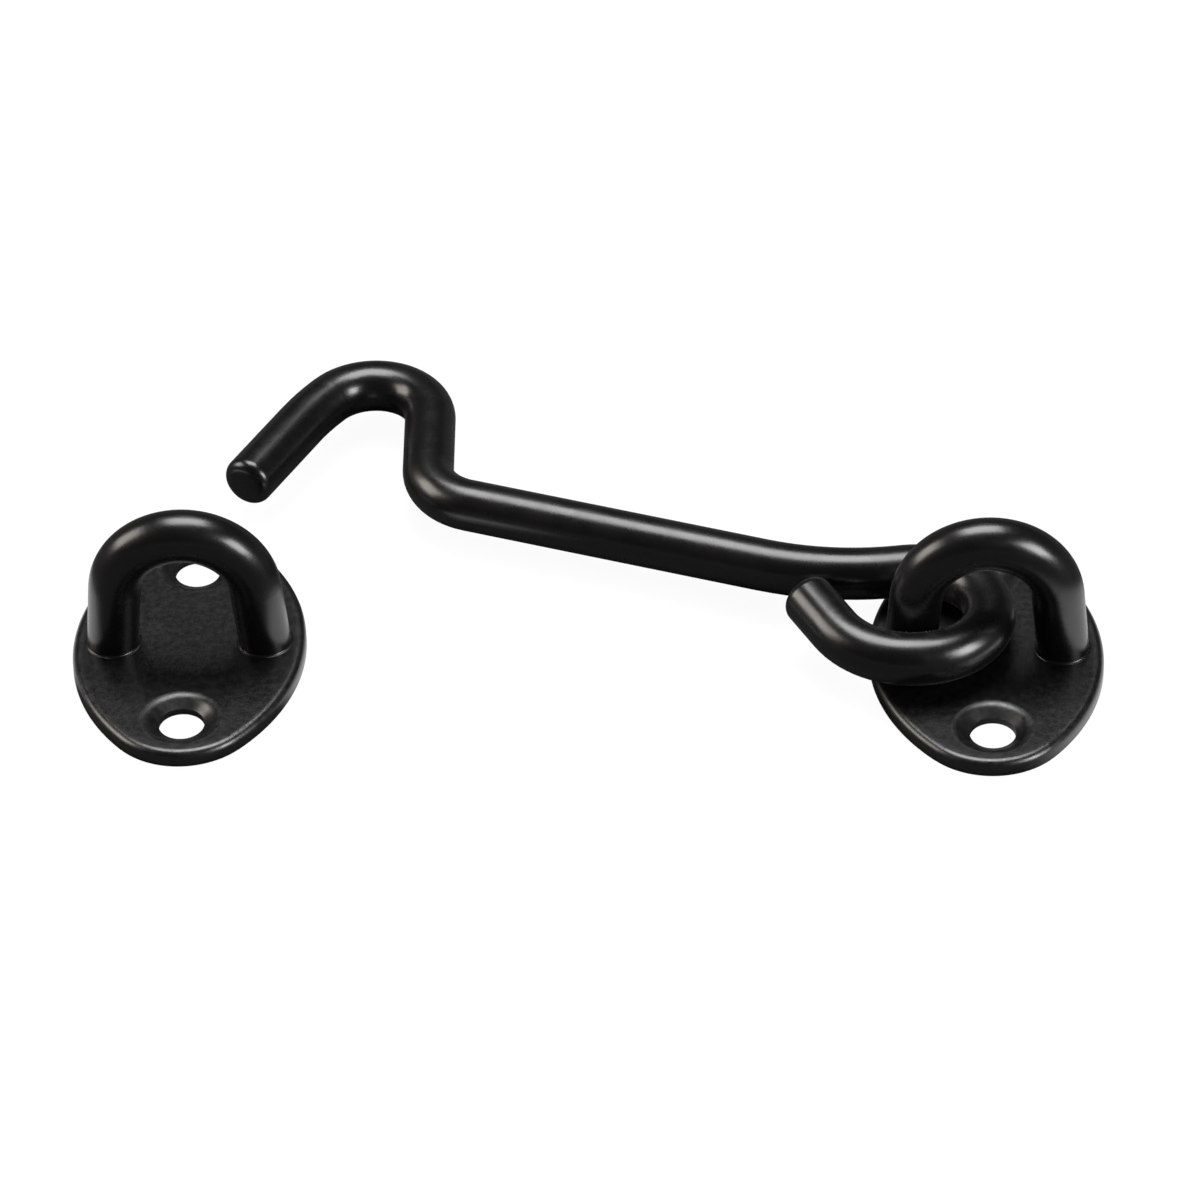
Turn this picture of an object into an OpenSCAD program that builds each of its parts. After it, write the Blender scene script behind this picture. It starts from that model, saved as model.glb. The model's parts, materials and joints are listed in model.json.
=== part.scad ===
// Cabin-hook gate latch: a bent-rod hook that swings on one screw-down staple
// and drops round a leg of a second one. Millimetres, +Z up, plates lying on Z = 0.
// The origin is the middle of the pivot plate's back face, with the plate's length along Y.

/* [Rod] */
// Diameter of the rod that both staples are bent from
staple_rod = 6; // [5:0.1:6.5]
// Diameter of the rod that the hook is bent from
hook_rod = 6; // [5:0.1:6.5]

/* [Plates] */
// Width of a plate across the middle of its oval
plate_w = 26.6; // [25:0.1:30]
// Length of a plate from end to end
plate_l = 39.9; // [37:0.1:46]
// Thickness of a plate
plate_t = 1.8; // [1.5:0.1:2.5]
// Radius of the oval's two end arcs, seen from above
plate_end_r = 9; // [7:0.1:11]
// Rounding of a plate's upper edge
plate_edge_r = 0.9; // [0.2:0.05:1.1]

/* [Screw holes] */
// Distance between the two screw holes of a plate
screw_pitch = 27; // [26:0.1:29]
// Diameter of a screw hole
screw_d = 5.2; // [4:0.1:5.6]
// Diameter of the countersink at the plate's top, before its lip is rounded
sink_d = 8.2; // [7:0.1:9]
// Rounding of the countersink's lip
sink_lip_r = 2; // [0.4:0.1:2.4]
// Straight part of a screw hole below its countersink
screw_land = 0.8; // [0.4:0.05:1.2]

/* [Staples] */
// Distance between a staple's two leg centres at the plate's top
leg_pitch = 17.34; // [16.8:0.02:18.2]
// Outward splay of each leg in degrees
leg_splay = 4.9; // [0:0.1:6]
// Height of the bow's centreline above the plate's back
bow_top = 17.1; // [15:0.1:20]

/* [Riveted feet] */
// Diameter of the tenon under each leg
tenon_d = 4.2; // [3.4:0.1:4.6]
// Diameter of the tenon's peened head at the plate's back
peen_d = 5.8; // [5:0.1:7]
// Depth of the peened head in the plate's back
peen_t = 0.8; // [0.5:0.05:1.1]
// Clearance round a tenon and its head
tenon_fit = 0.03; // [0.01:0.01:0.1]

/* [Placing] */
// Distance of the keeper plate's middle from the pivot plate's along X
keeper_dx = 90.65; // [84:0.05:110]
// Distance of the keeper plate's middle from the pivot plate's along Y
keeper_dy = 5.3; // [-2:0.1:8]
// Turn of the keeper plate in degrees
keeper_turn = -1.95; // [-5:0.05:5]
// Swing that closes the hook from its drawn, open place, in degrees
open_swing = 29.8; // [20:0.1:60]

/* [Clearances] */
// Gap between the hook and the pivot plate under it
plate_gap = 0.3; // [0.2:0.05:1]
// Gap between the hook's eye and the leg that it hangs against
leg_gap = 0.3; // [0.2:0.05:0.6]
// Gap between the swinging eye and the other leg
window_gap = 0.3; // [0.2:0.05:0.6]
// Play round the keeper's leg in the latched bight, all round
bight_play = 0.75; // [0.5:0.05:1.5]
// How far past the keeper's leg the latched bight's middle reaches
reach_past = 0; // [-0.3:0.05:0.5]

/* [Eye of the hook] */
// Turn of the eye's round part in degrees
eye_turn = 184; // [170:1:200]
// Roll of the eye that lifts its front pass, in degrees
eye_roll = 2.9; // [0:0.1:4]
// Centreline radius of the eye's opened-out tail
tail_r = 10; // [9:0.1:12]
// Turn of the tail in degrees
tail_turn = 64; // [50:1:70]
// Roll of the tail that lifts its end over the neck, in degrees
tail_roll = 7; // [5:0.1:12]
// Straight end of the tail
tail_len = 6.6; // [4:0.1:7]
// Direction from the pivot leg to the eye's middle, from the shank's far side, in degrees
eye_lean = 97; // [85:1:110]

/* [Arm of the hook] */
// Centreline radius of the neck that sets the eye on the shank's axis
neck_r = 34; // [25:1:45]
// Turn of the neck in degrees
neck_turn = 26.8; // [15:0.1:30]
// Centreline radius of the elbow between shank and riser
elbow_r = 7.1; // [6:0.1:10]
// Turn of the elbow in degrees
elbow_turn = 70.8; // [60:0.1:90]
// Straight riser between elbow and bight
riser_len = 9.6; // [6:0.1:12]
// Turn of the bight in degrees
bight_turn = 141.5; // [130:0.5:150]
// Centreline radius of the slack curve that leads the bight into the beak
beak_r = 30; // [15:1:60]
// Turn of that curve in degrees
beak_turn = 10; // [5:0.5:20]
// Straight end of the beak
beak_len = 13; // [8:0.1:16]
// Short straight between two bends that follow each other
link_len = 0.5; // [0.3:0.1:2]
// Rounding of the rod's two cut ends
end_round = 1.2; // [0.3:0.1:1.5]

/* [Hidden] */
$fn = 72;
plate_colour = [0.16, 0.16, 0.165];
rod_colour = [0.2, 0.2, 0.205];
staple_r = staple_rod / 2;
hook_r = hook_rod / 2;
past = 1;

// A straight piece of rod stands this much proud of the bends at its ends
// and tapers into them over this length, so that the pieces join as one solid
proud = 0.005;
lap = 0.2;

// A plate's side discs stand this much proud of its end discs
side_proud = 0.02;

// Four-arc oval: the side arcs are tangent to the end arcs
oval_a = plate_w / 2;
end_c = plate_l / 2 - plate_end_r;
side_r = (end_c ^ 2 + oval_a ^ 2 - plate_end_r ^ 2) / (2 * (oval_a - plate_end_r));
side_c = side_r - oval_a;
end_y = end_c * side_r / (side_r - plate_end_r);

// Countersink: its slope from the hole's axis, and the middle of its lip's rounding
sink_slope = atan2((sink_d - screw_d) / 2, plate_t - screw_land);
lip_x = sink_d / 2 + sink_lip_r * (1 - sin(sink_slope)) / cos(sink_slope);

// Staple: splayed legs tangent to the bow
leg_x = leg_pitch / 2;
bow_drop = (bow_top - plate_t) * sin(leg_splay);
bow_r = (leg_x * cos(leg_splay) - bow_drop) / (1 - sin(leg_splay));
bow_z = bow_top - bow_r;
leg_len = (bow_z + bow_r * sin(leg_splay) - plate_t) / cos(leg_splay);

// Pivot leg at the height of the hook, which the hook turns on
hook_z = plate_t + plate_gap + hook_r;
lean_in = (hook_z - plate_t) * tan(leg_splay);
pin_x = leg_x - lean_in;

// Eye: it hangs against its own leg and clears the other one all the way round
leg_reach = staple_r + hook_r + leg_gap;
eye_r = (2 * pin_x - staple_r - hook_r - window_gap + leg_reach) / 2;
eye_off = eye_r - leg_reach;

// Rod path from the pivot leg to the bight's middle, in the hook's own directions:
// the shank runs along -X from the neck
bight_r = hook_r + staple_r + bight_play;
eye_mid = eye_off * [cos(eye_lean), sin(eye_lean)];
eye_top = eye_mid + eye_r * [-sin(neck_turn), cos(neck_turn)];
neck_end = eye_top + link_len * [-cos(neck_turn), -sin(neck_turn)] + neck_r * [-sin(neck_turn), cos(neck_turn) - 1];
elbow_end = elbow_r * [-sin(elbow_turn), 1 - cos(elbow_turn)];
riser_dir = [-cos(elbow_turn), sin(elbow_turn)];
bight_side = [-sin(elbow_turn), -cos(elbow_turn)];
fixed_run = neck_end + elbow_end + riser_len * riser_dir + bight_r * bight_side;

// Keeper leg that the hook closes round, seen from the pivot leg
catch_leg = [-keeper_dx, keeper_dy] + pin_x * [cos(keeper_turn), sin(keeper_turn)];
to_catch = catch_leg - [-pin_x, 0];
catch_dist = norm(to_catch) + reach_past;

// The shank is as long as brings the bight's middle to the keeper leg
shank_len = fixed_run.x + sqrt(catch_dist ^ 2 - fixed_run.y ^ 2);
bight_mid = fixed_run - [shank_len, 0];
latched_yaw = atan2(to_catch.y, to_catch.x) - atan2(bight_mid.y, bight_mid.x);
hook_yaw = latched_yaw - open_swing;

// Round disc with its upper edge rounded
module puck(radius) {
    rotate_extrude()
        difference() {
            square([radius, plate_t]);
            translate([radius - plate_edge_r, plate_t - plate_edge_r])
                difference() {
                    square(plate_edge_r + past);
                    circle(r = plate_edge_r);
                }
        }
}

// The sides are where two large discs overlap, and a small disc closes each end.
// The large ones stand a hair proud, because arcs that only touch don't join.
module plate_blank() {
    intersection() {
        translate([-side_c, 0, 0]) puck(side_r + side_proud);
        translate([side_c, 0, 0]) puck(side_r + side_proud);
        translate([-plate_w, -end_y, -past]) cube([2 * plate_w, 2 * end_y, plate_t + 2 * past]);
    }
    for (end = [-1, 1]) translate([0, end * end_c, 0]) puck(plate_end_r);
}

// The lip's arc stands a hair proud too, so that it crosses the cone and the plate's top
module screw_hole() {
    rotate_extrude()
        difference() {
            polygon([
                [0, -past], [screw_d / 2, -past], [screw_d / 2, screw_land],
                [lip_x - sink_lip_r * cos(sink_slope), plate_t - sink_lip_r * (1 - sin(sink_slope))],
                [lip_x, plate_t], [lip_x, plate_t + past], [0, plate_t + past]
            ]);
            translate([lip_x, plate_t - sink_lip_r]) circle(r = sink_lip_r + proud);
        }
}

// Tenon and peened head under one leg; grow widens it into its own hole
module tenon(grow, extra) {
    slope = (peen_d - tenon_d) / 2 / peen_t;
    translate([0, 0, -extra]) cylinder(h = plate_t + 2 * extra, r = tenon_d / 2 + grow);
    translate([0, 0, -extra])
        cylinder(h = peen_t + extra, r1 = peen_d / 2 + grow + slope * extra, r2 = tenon_d / 2 + grow);
}

module plate() {
    difference() {
        plate_blank();
        for (end = [-1, 1]) translate([0, end * screw_pitch / 2, 0]) screw_hole();
        for (end = [-1, 1]) translate([end * leg_x, 0, 0]) tenon(tenon_fit, past);
    }
}

// Half section of a straight piece of rod between two bends, standing on the origin
module straight_half(radius, length) {
    polygon([
        [0, -lap], [radius - proud, -lap], [radius + proud, 0],
        [radius + proud, length], [radius - proud, length + lap], [0, length + lap]
    ]);
}

// Leg from the bow down to the plate's top, with its shoulder cut level
module staple_leg() {
    difference() {
        translate([leg_x, 0, plate_t])
            rotate([0, -leg_splay, 0])
                translate([0, 0, -staple_rod])
                    rotate_extrude() straight_half(staple_r, staple_rod + leg_len);
        translate([0, -staple_rod, plate_t - 3 * staple_rod])
            cube([leg_x + 2 * staple_rod, 2 * staple_rod, 3 * staple_rod]);
    }
}

module staple() {
    translate([0, 0, bow_z])
        rotate([90, 0, 0])
            rotate_extrude(angle = 180 - 2 * leg_splay, start = leg_splay)
                translate([bow_r, 0]) circle(r = staple_r);
    for (side = [0, 180])
        rotate(side) {
            staple_leg();
            translate([leg_x, 0, 0]) tenon(0, 0);
        }
}

// Bent rod: each piece starts at the origin along +X and passes its end on to what follows
module straight(length) {
    rotate([90, 0, 90]) rotate_extrude() straight_half(hook_r, length);
    translate([length, 0, 0]) children();
}

module bend(radius, turn) {
    side = sign(turn);
    translate([0, side * radius, 0])
        rotate_extrude(angle = abs(turn), start = side > 0 ? -90 : 90 - abs(turn))
            translate([radius, 0]) circle(r = hook_r);
    translate([0, side * radius, 0])
        rotate(turn)
            translate([0, -side * radius, 0]) children();
}

// Last straight of the rod, cut flat with its edge rounded
module cut_end(length) {
    rotate([90, 0, 90])
        rotate_extrude()
            difference() {
                straight_half(hook_r, length);
                translate([0, length]) square([hook_rod, 2 * lap]);
                translate([hook_r + proud - end_round, length - end_round])
                    difference() {
                        square(end_round + past);
                        circle(r = end_round);
                    }
            }
}

module eye() {
    rotate([-eye_roll, 0, 0])
        bend(eye_r, -eye_turn)
            straight(link_len)
                rotate([-tail_roll, 0, 0])
                    bend(tail_r, -tail_turn)
                        cut_end(tail_len);
}

module arm() {
    straight(link_len)
        bend(neck_r, -neck_turn)
            straight(shank_len)
                bend(elbow_r, -elbow_turn)
                    straight(riser_len)
                        bend(bight_r, bight_turn)
                            straight(link_len)
                                bend(beak_r, beak_turn)
                                    cut_end(beak_len);
}

module at_keeper() {
    translate([-keeper_dx, keeper_dy, 0]) rotate(keeper_turn) children();
}

module keeper_plate() {
    color(plate_colour) at_keeper() plate();
}

module keeper_staple() {
    color(rod_colour) at_keeper() staple();
}

module pivot_plate() {
    color(plate_colour) plate();
}

module pivot_staple() {
    color(rod_colour) staple();
}

module hook_arm() {
    color(rod_colour)
        translate([-pin_x, 0, hook_z])
            rotate(hook_yaw)
                translate([eye_top.x, eye_top.y, 0])
                    rotate(neck_turn) {
                        eye();
                        rotate(180) arm();
                    }
}

keeper_plate();
keeper_staple();
pivot_plate();
pivot_staple();
hook_arm();
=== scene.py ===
"""Looks for the gate latch: satin black paint, beads of paint at the feet, floor, lamps, camera."""
import json
import math

import bmesh
import bpy
from mathutils import Matrix, Vector


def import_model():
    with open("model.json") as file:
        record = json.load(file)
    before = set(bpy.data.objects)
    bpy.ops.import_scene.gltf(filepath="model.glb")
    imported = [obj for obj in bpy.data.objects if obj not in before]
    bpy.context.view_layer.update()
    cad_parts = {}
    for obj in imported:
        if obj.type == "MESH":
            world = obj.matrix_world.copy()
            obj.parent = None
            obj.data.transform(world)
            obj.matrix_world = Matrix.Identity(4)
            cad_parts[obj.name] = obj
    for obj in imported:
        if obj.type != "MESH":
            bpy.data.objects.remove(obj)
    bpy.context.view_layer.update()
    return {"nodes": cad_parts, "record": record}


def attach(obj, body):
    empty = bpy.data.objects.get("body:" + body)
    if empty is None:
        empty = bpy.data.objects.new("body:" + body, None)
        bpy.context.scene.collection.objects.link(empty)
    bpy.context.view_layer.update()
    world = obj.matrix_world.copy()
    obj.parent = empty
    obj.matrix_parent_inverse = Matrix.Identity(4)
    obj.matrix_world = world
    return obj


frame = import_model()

MM = 0.001

# Sizes that the CAD source has too, in millimetres and degrees
PLATE_W = 26.6
PLATE_L = 39.9
PLATE_T = 1.8
LEG_X = 8.67
LEG_SPLAY = 4.9
STAPLE_R = 3.0
SCREW_PITCH = 27.0
PIVOT_AT = (0, 0)
PIVOT_TURN = 0
KEEPER_AT = (-90.65, 5.3)
KEEPER_TURN = -1.95

# Values between which most of a noise texture lies
NOISE_LOW = 0.35
NOISE_HIGH = 0.65

# Rod paint: colours in linear light, roughness from glossy to dull, bump heights in millimetres
ROD_DARK = (0.0024, 0.0021, 0.0021)
ROD_PALE = (0.0044, 0.0039, 0.0037)
ROD_ROUGHNESS = (0.25, 0.30)
ROD_SPECULAR = 0.84
ROD_SHEEN = 0.08
ROD_SHEEN_ROUGHNESS = 0.3
PEEL_HEIGHT = 0.010
FINE_HEIGHT = 0.0035

# Plate paint, the same; specular is for the flats and for the paint that has pooled
PLATE_DARK = (0.0015, 0.0015, 0.0016)
PLATE_PALE = (0.0054, 0.0054, 0.0056)
PLATE_ROUGHNESS = (0.29, 0.37)
PLATE_SPECULAR = (0.50, 1.0)
GRAIN_HEIGHT = 0.018
FLECK_HEIGHT = 0.009
POOLED_BUMP = 0.25

# Where paint has pooled: radii in millimetres round a screw hole, and shares of a
# plate's half width and half length, from full to none and from none to full
SINK_FADE = (4.2, 5.0)
RIM_FADE = (0.90, 0.96)

# Bead of paint round a staple's foot, in millimetres, and the steps of its mesh
BEAD_REACH = 0.25
BEAD_SUNK = 0.06
BEAD_STEPS = 8
BEAD_ROUND = 96

# Floor, in metres: half its size, and its height just under the part
FLOOR_HALF = 3.0
FLOOR_Z = -0.00005
FLOOR_COLOUR = 0.08
FLOOR_ROUGHNESS = 0.9
FLOOR_SPECULAR = 0.1
# Glow that lifts the lit floor to white for the camera
FLOOR_GLOW_SEEN = 0.95
# Painted reflections: spots of glow on the floor beside the staples, which only glossy rays see, so
# that the paint shows bright bands there, in millimetres:
# middle, radius to which a spot glows full white, and radius at which it has faded out
REFLECTION_GLOW_SPOTS = (((-110, 13), 9, 16), ((-72, 4), 7, 12.5), ((21, -5), 13, 24))

# World seen by the paint: level at the horizon and above it, and the heights of a
# direction between which the one fades into the other
BACKDROP_LEVEL = 0.13
ROOM_LEVEL = 0.03
ROOM_FADE = (0.02, 0.34)

# Point that the lamps aim at, in metres
LAMP_AIM = (-0.044, 0.013, 0.0)

# Camera from a fit to both plates, both staples and the hook: place in millimetres,
# directions to its back and its right, roll in degrees
CAMERA_AT = (-39.03, -583.07, 488.60)
CAMERA_BACK = (0.006073, -0.773266, 0.63405)
CAMERA_RIGHT = (0.99997, 0.00785, 0)
CAMERA_ROLL = -1.807
FOCAL_PX = 6693.7
FRAME_PX = 1200
SENSOR_MM = 36.0
CLIP = (0.01, 20)

AT_PIVOT = Matrix.Identity(4)
AT_KEEPER = (Matrix.Translation((KEEPER_AT[0] * MM, KEEPER_AT[1] * MM, 0))
             @ Matrix.Rotation(math.radians(KEEPER_TURN), 4, "Z"))


def spots(tree, at, places):
    """Strength 1 round each place, fading to 0.

    Each place holds a point in metres and two radii in millimetres.
    """
    whole = None
    for point, full, gone in places:
        far = tree.nodes.new("ShaderNodeVectorMath")
        far.operation = "DISTANCE"
        tree.links.new(at, far.inputs[0])
        far.inputs[1].default_value = point
        fade = tree.nodes.new("ShaderNodeMapRange")
        fade.interpolation_type = "SMOOTHSTEP"
        tree.links.new(far.outputs["Value"], fade.inputs["Value"])
        fade.inputs["From Min"].default_value = full * MM
        fade.inputs["From Max"].default_value = gone * MM
        fade.inputs["To Min"].default_value = 1.0
        fade.inputs["To Max"].default_value = 0.0
        if whole is None:
            whole = fade.outputs["Result"]
            continue
        most = tree.nodes.new("ShaderNodeMath")
        most.operation = "MAXIMUM"
        tree.links.new(whole, most.inputs[0])
        tree.links.new(fade.outputs["Result"], most.inputs[1])
        whole = most.outputs[0]
    return whole


def oval(tree, at, middle, turn, halves):
    """Distance from an oval's middle, 1 on its edge.

    Middle and half sizes are in millimetres, the turn in degrees.
    """
    place = tree.nodes.new("ShaderNodeMapping")
    place.vector_type = "TEXTURE"
    tree.links.new(at, place.inputs["Vector"])
    place.inputs["Location"].default_value = (middle[0] * MM, middle[1] * MM, 0)
    place.inputs["Rotation"].default_value = (0, 0, math.radians(turn))
    place.inputs["Scale"].default_value = (halves[0] * MM, halves[1] * MM, 1)
    length = tree.nodes.new("ShaderNodeVectorMath")
    length.operation = "LENGTH"
    tree.links.new(place.outputs["Vector"], length.inputs[0])
    return length.outputs["Value"]


class Nodes:
    """A material's node tree with short calls for adding and joining nodes."""

    def __init__(self, name):
        self.material = bpy.data.materials.new(name)
        self.material.use_nodes = True
        self.tree = self.material.node_tree
        self.shader = self.tree.nodes["Principled BSDF"]
        coords = self.add("ShaderNodeTexCoord")
        self.at = coords.outputs["Object"]

    def add(self, kind, **values):
        node = self.tree.nodes.new(kind)
        for key, value in values.items():
            setattr(node, key, value)
        return node

    def join(self, output, socket):
        self.tree.links.new(output, socket)

    def noise(self, per_mm, detail=3.0, rough=0.5):
        node = self.add("ShaderNodeTexNoise")
        self.join(self.at, node.inputs["Vector"])
        node.inputs["Scale"].default_value = per_mm / MM
        node.inputs["Detail"].default_value = detail
        node.inputs["Roughness"].default_value = rough
        return node.outputs["Fac"]

    def spread(self, fac, low, high, start=NOISE_LOW, end=NOISE_HIGH):
        node = self.add("ShaderNodeMapRange")
        self.join(fac, node.inputs["Value"])
        node.inputs["From Min"].default_value = start
        node.inputs["From Max"].default_value = end
        node.inputs["To Min"].default_value = low
        node.inputs["To Max"].default_value = high
        return node.outputs["Result"]

    def tint(self, fac, low, high, start=NOISE_LOW, end=NOISE_HIGH):
        node = self.add("ShaderNodeValToRGB")
        self.join(fac, node.inputs["Fac"])
        first, last = node.color_ramp.elements
        first.position, last.position = start, end
        first.color, last.color = (*low, 1.0), (*high, 1.0)
        return node.outputs["Color"]

    def choose(self, operation, first, second):
        node = self.add("ShaderNodeMath", operation=operation)
        self.join(first, node.inputs[0])
        self.join(second, node.inputs[1])
        return node.outputs[0]

    def bump(self, height, distance_mm, strength=None, under=None):
        node = self.add("ShaderNodeBump")
        self.join(height, node.inputs["Height"])
        node.inputs["Distance"].default_value = distance_mm * MM
        node.inputs["Strength"].default_value = 1.0
        if strength is not None:
            self.join(strength, node.inputs["Strength"])
        if under is not None:
            self.join(under, node.inputs["Normal"])
        return node.outputs["Normal"]


def rod_paint():
    """Satin black on the bent rod: a faint orange peel, and gloss that wanders slowly."""
    n = Nodes("rod_paint")
    slow = n.noise(per_mm=0.06, detail=2.0)
    peel = n.noise(per_mm=0.55, detail=2.0)
    fine = n.noise(per_mm=3.6, detail=3.0, rough=0.6)
    n.join(n.tint(slow, ROD_DARK, ROD_PALE), n.shader.inputs["Base Color"])
    wander = n.noise(per_mm=0.35, detail=3.0)
    n.join(n.spread(wander, *ROD_ROUGHNESS), n.shader.inputs["Roughness"])
    broad = n.bump(peel, PEEL_HEIGHT)
    n.join(n.bump(fine, FINE_HEIGHT, under=broad), n.shader.inputs["Normal"])
    n.shader.inputs["Specular IOR Level"].default_value = ROD_SPECULAR
    n.shader.inputs["Sheen Weight"].default_value = ROD_SHEEN
    n.shader.inputs["Sheen Roughness"].default_value = ROD_SHEEN_ROUGHNESS
    return n.material


def plate_paint():
    """Satin black on the plates: grainy flats, smooth and glossier in the sinks and at the rim."""
    n = Nodes("plate_paint")
    grain = n.noise(per_mm=1.5, detail=4.0, rough=0.6)
    fleck = n.noise(per_mm=4.5, detail=2.0)
    n.join(n.tint(grain, PLATE_DARK, PLATE_PALE), n.shader.inputs["Base Color"])
    n.join(n.spread(grain, *PLATE_ROUGHNESS), n.shader.inputs["Roughness"])
    sinks = [(place @ Vector((0, end * SCREW_PITCH / 2 * MM, PLATE_T / 2 * MM)), *SINK_FADE)
             for place in (AT_PIVOT, AT_KEEPER) for end in (-1, 1)]
    halves = (PLATE_W / 2, PLATE_L / 2)
    from_middle = n.choose("MINIMUM", oval(n.tree, n.at, PIVOT_AT, PIVOT_TURN, halves),
                           oval(n.tree, n.at, KEEPER_AT, KEEPER_TURN, halves))
    rim = n.spread(from_middle, 0.0, 1.0, *RIM_FADE)
    pooled = n.choose("MAXIMUM", rim, spots(n.tree, n.at, sinks))
    n.join(n.spread(pooled, *PLATE_SPECULAR, 0.0, 1.0), n.shader.inputs["Specular IOR Level"])
    strength = n.spread(pooled, 1.0, POOLED_BUMP, 0.0, 1.0)
    coarse = n.bump(grain, GRAIN_HEIGHT, strength)
    n.join(n.bump(fleck, FLECK_HEIGHT, strength, coarse), n.shader.inputs["Normal"])
    return n.material


def ring_mesh(name, section, around):
    """Closed skin through rings of points; section(angle) gives one ring's points."""
    mesh = bpy.data.meshes.new(name)
    bm = bmesh.new()
    rings = [[bm.verts.new(p) for p in section(2 * math.pi * i / around)] for i in range(around)]
    count = len(rings[0])
    for i in range(around):
        a, b = rings[i], rings[(i + 1) % around]
        for j in range(count):
            k = (j + 1) % count
            bm.faces.new((a[j], b[j], b[k], a[k]))
    bmesh.ops.recalc_face_normals(bm, faces=bm.faces)
    for face in bm.faces:
        face.smooth = True
    bm.to_mesh(mesh)
    bm.free()
    obj = bpy.data.objects.new(name, mesh)
    bpy.context.scene.collection.objects.link(obj)
    return obj


def foot_fillet(name, side, place):
    """Concave bead of paint where a staple's leg meets its plate."""
    lean = math.tan(math.radians(LEG_SPLAY))

    def section(angle):
        turns = (0.5 * math.pi * s / BEAD_STEPS for s in range(BEAD_STEPS + 1))
        arc = [(BEAD_REACH * (1 - math.sin(t)), BEAD_REACH * (1 - math.cos(t))) for t in turns]
        inside = [(-BEAD_SUNK, BEAD_REACH), (-BEAD_SUNK, -BEAD_SUNK), (BEAD_REACH, -BEAD_SUNK)]
        points = []
        for out, up in arc + inside:
            middle = side * (LEG_X - up * lean)
            radius = STAPLE_R + out
            points.append(place @ Vector((
                (middle + radius * math.cos(angle)) * MM,
                radius * math.sin(angle) * MM,
                (PLATE_T + up) * MM)))
        return points

    obj = ring_mesh(name, section, BEAD_ROUND)
    obj.data.materials.append(PAINTS["rod_paint"])
    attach(obj, "base")


def floor():
    """Floor that keeps the shadow; its glow makes it white for the camera, and spots of glow that
    only glossy rays see paint reflections beside the staples.
    """
    mesh = bpy.data.meshes.new("floor")
    bm = bmesh.new()
    bmesh.ops.create_grid(bm, x_segments=1, y_segments=1, size=FLOOR_HALF)
    bm.to_mesh(mesh)
    bm.free()
    obj = bpy.data.objects.new("floor", mesh)
    bpy.context.scene.collection.objects.link(obj)
    obj.location.z = FLOOR_Z
    material = bpy.data.materials.new("floor_white")
    material.use_nodes = True
    tree = material.node_tree
    shader = tree.nodes["Principled BSDF"]
    shader.inputs["Base Color"].default_value = (FLOOR_COLOUR, FLOOR_COLOUR, FLOOR_COLOUR, 1)
    shader.inputs["Roughness"].default_value = FLOOR_ROUGHNESS
    shader.inputs["Specular IOR Level"].default_value = FLOOR_SPECULAR
    glow = tree.nodes.new("ShaderNodeEmission")
    path = tree.nodes.new("ShaderNodeLightPath")
    seen = tree.nodes.new("ShaderNodeMath")
    seen.operation = "MULTIPLY"
    seen.inputs[1].default_value = FLOOR_GLOW_SEEN
    both = tree.nodes.new("ShaderNodeMath")
    both.operation = "MULTIPLY_ADD"
    coords = tree.nodes.new("ShaderNodeTexCoord")
    # Spots of glow that only glossy rays see: painted reflections beside the staples
    places = [((x * MM, y * MM, 0), full, gone) for (x, y), full, gone in REFLECTION_GLOW_SPOTS]
    reflected_glow = spots(tree, coords.outputs["Object"], places)
    add = tree.nodes.new("ShaderNodeAddShader")
    out = tree.nodes["Material Output"]
    tree.links.new(path.outputs["Is Camera Ray"], seen.inputs[0])
    tree.links.new(path.outputs["Is Glossy Ray"], both.inputs[0])
    tree.links.new(reflected_glow, both.inputs[1])
    tree.links.new(seen.outputs[0], both.inputs[2])
    tree.links.new(both.outputs[0], glow.inputs["Strength"])
    tree.links.new(shader.outputs[0], add.inputs[0])
    tree.links.new(glow.outputs[0], add.inputs[1])
    tree.links.new(add.outputs[0], out.inputs["Surface"])
    obj.data.materials.append(material)


def world():
    """White for the camera; for the paint a dim backdrop near the horizon and a dark room above."""
    scene_world = bpy.data.worlds.new("studio")
    bpy.context.scene.world = scene_world
    scene_world.use_nodes = True
    tree = scene_world.node_tree
    background = tree.nodes["Background"]
    coords = tree.nodes.new("ShaderNodeTexCoord")
    parts = tree.nodes.new("ShaderNodeSeparateXYZ")
    path = tree.nodes.new("ShaderNodeLightPath")
    room = tree.nodes.new("ShaderNodeMapRange")
    room.interpolation_type = "SMOOTHSTEP"
    room.inputs["From Min"].default_value = ROOM_FADE[0]
    room.inputs["From Max"].default_value = ROOM_FADE[1]
    room.inputs["To Min"].default_value = BACKDROP_LEVEL
    room.inputs["To Max"].default_value = ROOM_LEVEL
    level = tree.nodes.new("ShaderNodeMath")
    level.operation = "MAXIMUM"
    tree.links.new(coords.outputs["Generated"], parts.inputs[0])
    tree.links.new(parts.outputs["Z"], room.inputs["Value"])
    tree.links.new(room.outputs["Result"], level.inputs[0])
    tree.links.new(path.outputs["Is Camera Ray"], level.inputs[1])
    tree.links.new(level.outputs[0], background.inputs["Strength"])
    background.inputs["Color"].default_value = (1, 1, 1, 1)


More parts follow.
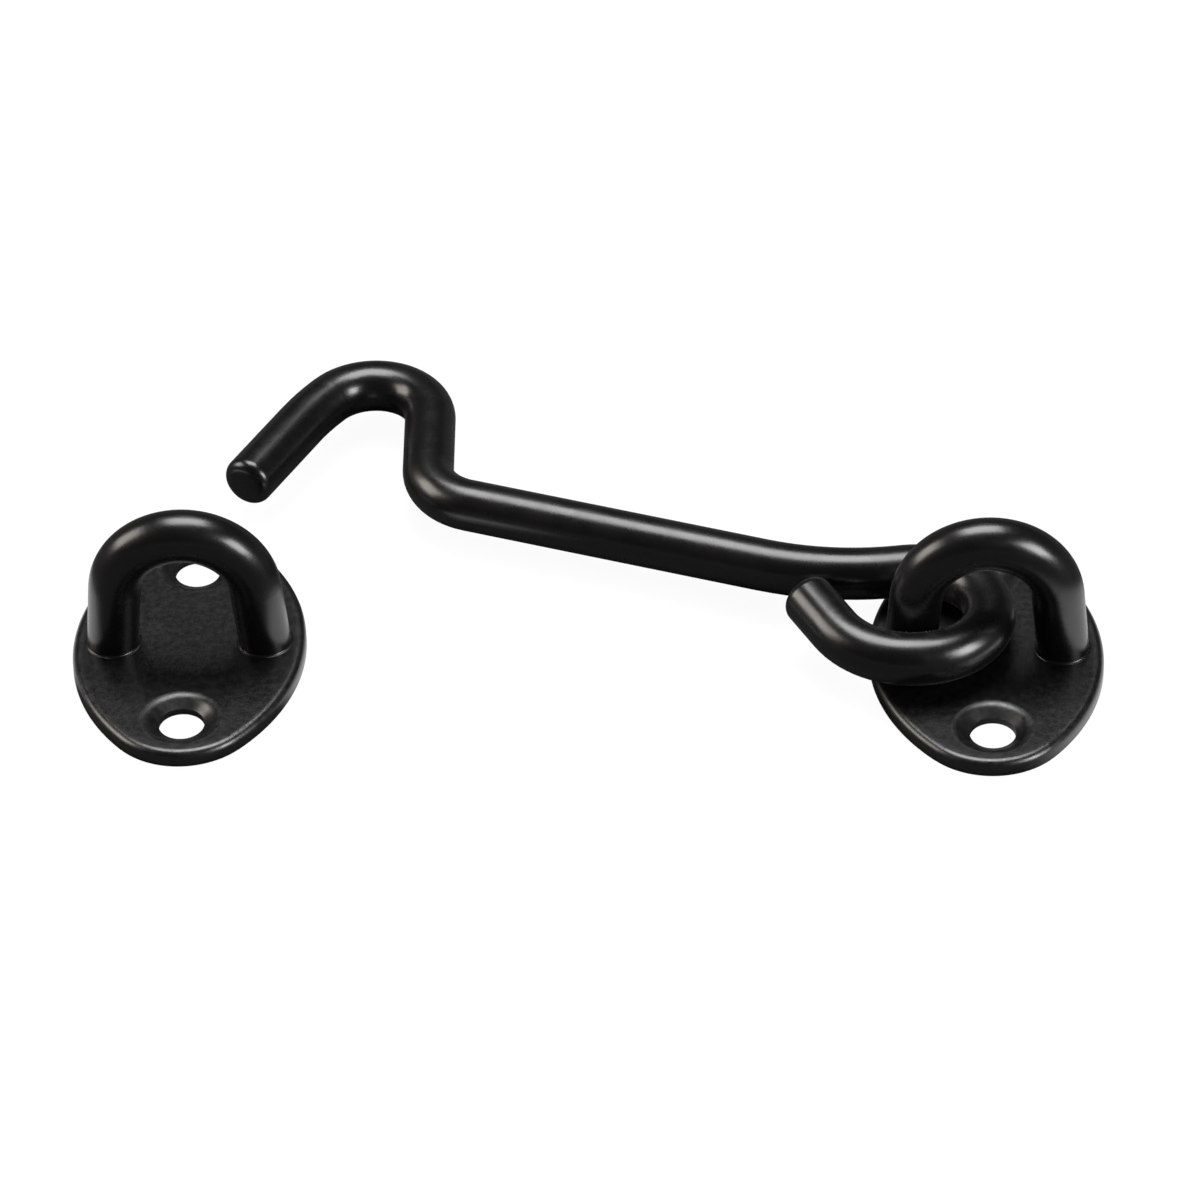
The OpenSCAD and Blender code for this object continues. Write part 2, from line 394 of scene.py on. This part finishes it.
def soft_box(name, azimuth, elevation, away, size, level, colour=(1.0, 1.0, 1.0)):
    """Area lamp in a direction given in degrees, the azimuth from +X.

    Its distance and size are in metres, and level is its brightness as seen.
    """
    turn, rise = math.radians(azimuth), math.radians(elevation)
    towards = Vector((math.cos(rise) * math.cos(turn), math.cos(rise) * math.sin(turn),
                      math.sin(rise)))
    aim = Vector(LAMP_AIM)
    at = aim + away * towards
    data = bpy.data.lights.new(name, "AREA")
    data.shape = "RECTANGLE"
    data.size, data.size_y = size
    data.energy = level * math.pi * size[0] * size[1]
    data.color = colour
    obj = bpy.data.objects.new(name, data)
    bpy.context.scene.collection.objects.link(obj)
    obj.location = at
    obj.rotation_euler = (aim - at).to_track_quat("-Z", "Y").to_euler()


def camera():
    """The photo's camera."""
    roll = math.radians(CAMERA_ROLL)
    location = Vector(CAMERA_AT) * MM
    back = Vector(CAMERA_BACK).normalized()
    right = Vector(CAMERA_RIGHT).normalized()
    up = back.cross(right)
    x = math.cos(roll) * right + math.sin(roll) * up
    y = -math.sin(roll) * right + math.cos(roll) * up
    data = bpy.data.cameras.new("camera")
    data.sensor_fit = "HORIZONTAL"
    data.sensor_width = SENSOR_MM
    data.lens = FOCAL_PX / FRAME_PX * SENSOR_MM
    data.clip_start, data.clip_end = CLIP
    obj = bpy.data.objects.new("camera", data)
    bpy.context.scene.collection.objects.link(obj)
    turn = Matrix((x, y, back)).transposed().to_4x4()
    obj.matrix_world = Matrix.Translation(location) @ turn
    bpy.context.scene.camera = obj


PAINTS = {"rod_paint": rod_paint(), "plate_paint": plate_paint()}
SLOT_OF = {s["node"]: s["material_slot"] for s in frame["record"]["subparts"]}
for name, obj in frame["nodes"].items():
    obj.data.materials.clear()
    obj.data.materials.append(PAINTS[SLOT_OF[name]])

for label, place in (("pivot", AT_PIVOT), ("keeper", AT_KEEPER)):
    for hand, side in (("left", -1), ("right", 1)):
        foot_fillet(f"{label}_{hand}_foot_fillet", side, place)

floor()
world()
soft_box("over", azimuth=93, elevation=73, away=0.76, size=(0.50, 0.42), level=7.2)
soft_box("right", azimuth=-30, elevation=29, away=0.80, size=(0.34, 0.34), level=9.6)
soft_box("left", azimuth=173, elevation=30, away=0.80, size=(0.42, 0.38), level=4.9,
         colour=(1.0, 0.94, 0.86))
camera()
bpy.context.scene.view_settings.view_transform = "Standard"
